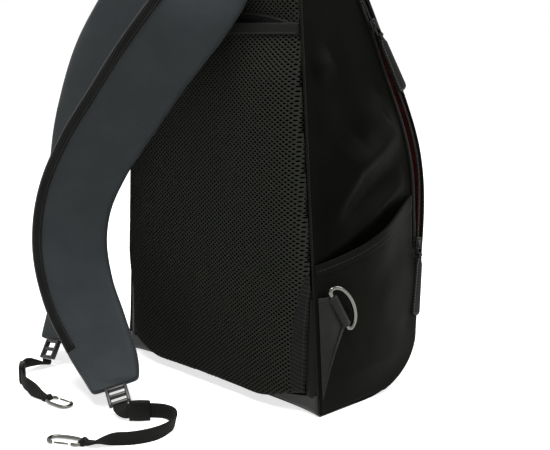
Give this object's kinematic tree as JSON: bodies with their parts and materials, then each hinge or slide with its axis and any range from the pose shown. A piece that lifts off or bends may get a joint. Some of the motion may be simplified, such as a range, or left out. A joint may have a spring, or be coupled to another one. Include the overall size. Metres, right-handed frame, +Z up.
{
  "type": "racket backpack",
  "caption": "Padded two-strap sports backpack with a zipped front flap, slip pockets, a mesh back with a slip sleeve, and straps that clip to D-rings.",
  "frame": {"origin": "underside of the flat base, on the bag's middle line", "axes": "+Z up, -Y towards the wearer's back, +X to the bag's right side as worn"},
  "size_m": [0.3819, 0.4058, 0.5143],
  "materials": {
    "twill": "black twill nylon with a low satin sheen",
    "mesh": "black spacer mesh with open cells",
    "coated": "smooth coated black cloth",
    "lining": "thin dull red lining cloth",
    "tape": "black herringbone tape and webbing",
    "leather": "grained black leather, stitched at its edge",
    "gunmetal": "polished gunmetal plate",
    "board": "matt black moulded plastic"
  },
  "bodies": {
    "pack": {"back_board": "board", "back_pad": "mesh", "back_sleeve": "mesh", "body_lining": "lining", "bottom_board": "board", "bottom_panel": "coated", "front_lower_panel": "twill", "grab_handle": "leather", "pad_tape": "tape", "racket_divider": "lining", "side_panel_left": "twill", "side_panel_right": "twill", "side_pocket_left": "twill", "side_pocket_right": "twill", "sleeve_foot": "coated", "sleeve_side_left": "coated", "sleeve_side_right": "coated", "sleeve_tape": "tape", "strap_anchor": "coated", "top_panel": "twill", "wing_left": "leather", "wing_right": "leather", "zip_tape_body": "tape"},
    "flap": {"front_flap": "twill", "flap_lining": "lining", "zip_tape_flap": "tape"},
    "slider_upper": {"slider_upper": "gunmetal"},
    "pull_link_upper": {"pull_link_upper": "gunmetal"},
    "leather_pull_upper": {"leather_pull_upper": "leather"},
    "slider_lower": {"slider_lower": "gunmetal"},
    "pull_link_lower": {"pull_link_lower": "gunmetal"},
    "leather_pull_lower": {"leather_pull_lower": "leather"},
    "d_ring_right": {"d_ring_right": "gunmetal"},
    "strap_right": {"strap_right": "twill", "adjuster_right": "board", "webbing_right": "tape", "keeper_right": "leather", "hook_right": "gunmetal"},
    "hook_gate_right": {"hook_gate_right": "gunmetal"},
    "d_ring_left": {"d_ring_left": "gunmetal"},
    "strap_left": {"strap_left": "twill", "adjuster_left": "board", "webbing_left": "tape", "keeper_left": "leather", "hook_left": "gunmetal"},
    "hook_gate_left": {"hook_gate_left": "gunmetal"}
  },
  "joints": [
    {"name": "flap_open", "type": "hinge", "parent": "pack", "child": "flap", "pos_m": [0, 0.13075, 0.13], "axis": [-1, 0, 0], "range_deg": [0, 65]},
    {"name": "slider_upper_travel", "type": "slide", "parent": "pack", "child": "slider_upper", "axis": [0.0623, 0.4726, -0.8791], "range_m": [0, 0.05]},
    {"name": "pull_link_upper_swing", "type": "hinge", "parent": "slider_upper", "child": "pull_link_upper", "pos_m": [0.12698, 0.05405, 0.37034], "axis": [0.0366, -0.8551, -0.5172], "range_deg": [0, 140]},
    {"name": "leather_pull_upper_swing", "type": "hinge", "parent": "pull_link_upper", "child": "leather_pull_upper", "pos_m": [0.1277, 0.06028, 0.3601], "axis": [0.0366, -0.8551, -0.5172], "range_deg": [0, 45]},
    {"name": "slider_lower_travel", "type": "slide", "parent": "pack", "child": "slider_lower", "axis": [-0.0703, 0.097, 0.9928], "range_m": [0, 0.05]},
    {"name": "pull_link_lower_swing", "type": "hinge", "parent": "slider_lower", "child": "pull_link_lower", "pos_m": [0.14284, 0.11376, 0.14634], "axis": [-0.011, -0.9878, 0.1551], "range_deg": [0, 140]},
    {"name": "leather_pull_lower_swing", "type": "hinge", "parent": "pull_link_lower", "child": "leather_pull_lower", "pos_m": [0.14368, 0.11189, 0.13451], "axis": [-0.011, -0.9878, 0.1551], "range_deg": [0, 45]},
    {"name": "d_ring_right_swing", "type": "hinge", "parent": "pack", "child": "d_ring_right", "pos_m": [0.1563, -0.02625, 0.1036], "axis": [0.0607, 0.511, -0.8574], "range_deg": [-8, 130]},
    {"name": "strap_right_swing", "type": "hinge", "parent": "pack", "child": "strap_right", "pos_m": [0.046, -0.0502, 0.462], "axis": [-1, 0, 0], "range_deg": [0, 30]},
    {"name": "hook_gate_right_press", "type": "hinge", "parent": "strap_right", "child": "hook_gate_right", "pos_m": [0.04051, -0.25544, 0.0025], "axis": [0, 0, -1], "range_deg": [0, 20], "stiffness_Nm_per_rad": 0.004},
    {"name": "d_ring_left_swing", "type": "hinge", "parent": "pack", "child": "d_ring_left", "pos_m": [-0.1563, -0.02625, 0.1036], "axis": [0.0607, -0.511, 0.8574], "range_deg": [-8, 130]},
    {"name": "strap_left_swing", "type": "hinge", "parent": "pack", "child": "strap_left", "pos_m": [-0.046, -0.0502, 0.462], "axis": [-1, 0, 0], "range_deg": [0, 30]},
    {"name": "hook_gate_left_press", "type": "hinge", "parent": "strap_left", "child": "hook_gate_left", "pos_m": [-0.06227, -0.20045, 0.0025], "axis": [0, 0, -1], "range_deg": [0, 20], "stiffness_Nm_per_rad": 0.004}
  ]
}
